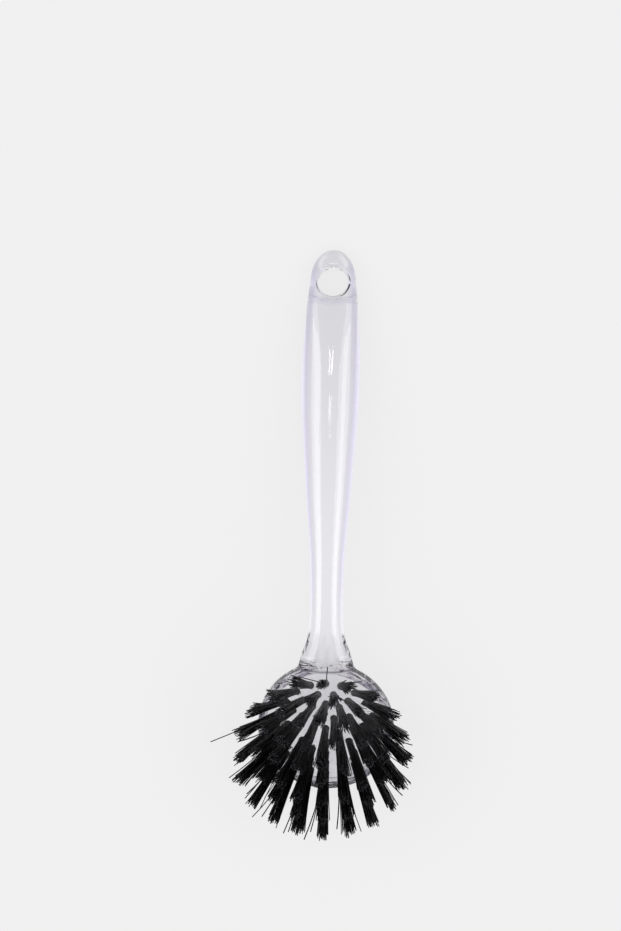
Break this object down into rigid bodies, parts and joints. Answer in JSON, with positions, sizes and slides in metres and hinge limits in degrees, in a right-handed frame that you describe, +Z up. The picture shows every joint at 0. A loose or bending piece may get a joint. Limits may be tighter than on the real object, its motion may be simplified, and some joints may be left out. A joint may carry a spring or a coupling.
{
  "type": "dish brush",
  "caption": "Round-headed dish brush: arched clear plastic handle with a hang hole, and black nylon tufts that fan out from a flat round head",
  "frame": {"origin": "on the surface that the brush lies on, under the middle of its box", "axes": "+Y along the handle from the head to the hang hole, +Z up, the way the bristle face looks, and +X across the brush"},
  "size_m": [0.0802, 0.2674, 0.0558],
  "materials": {
    "clear_plastic": "polished clear moulding with a faint lavender tint",
    "black_nylon": "satin black nylon filament"
  },
  "bodies": {
    "root": {"handle": "clear_plastic", "tuft_1_01": "black_nylon", "tuft_2_01": "black_nylon", "tuft_2_02": "black_nylon", "tuft_2_03": "black_nylon", "tuft_2_04": "black_nylon", "tuft_2_05": "black_nylon", "tuft_3_01": "black_nylon", "tuft_3_02": "black_nylon", "tuft_3_03": "black_nylon", "tuft_3_04": "black_nylon", "tuft_3_05": "black_nylon", "tuft_3_06": "black_nylon", "tuft_3_07": "black_nylon", "tuft_3_08": "black_nylon", "tuft_3_09": "black_nylon", "tuft_3_10": "black_nylon", "tuft_3_11": "black_nylon", "tuft_3_12": "black_nylon", "tuft_4_01": "black_nylon", "tuft_4_02": "black_nylon", "tuft_4_03": "black_nylon", "tuft_4_04": "black_nylon", "tuft_4_05": "black_nylon", "tuft_4_06": "black_nylon", "tuft_4_07": "black_nylon", "tuft_4_08": "black_nylon", "tuft_4_09": "black_nylon", "tuft_4_10": "black_nylon", "tuft_4_11": "black_nylon", "tuft_4_12": "black_nylon", "tuft_4_13": "black_nylon", "tuft_4_14": "black_nylon", "tuft_4_15": "black_nylon", "tuft_5_01": "black_nylon", "tuft_5_02": "black_nylon", "tuft_5_03": "black_nylon", "tuft_5_04": "black_nylon", "tuft_5_05": "black_nylon", "tuft_5_06": "black_nylon", "tuft_5_07": "black_nylon", "tuft_5_08": "black_nylon", "tuft_5_09": "black_nylon", "tuft_5_10": "black_nylon", "tuft_5_11": "black_nylon", "tuft_5_12": "black_nylon", "tuft_5_13": "black_nylon", "tuft_5_14": "black_nylon", "tuft_5_15": "black_nylon", "tuft_5_16": "black_nylon", "tuft_5_17": "black_nylon", "tuft_5_18": "black_nylon", "tuft_5_19": "black_nylon", "tuft_5_20": "black_nylon"}
  },
  "joints": []
}
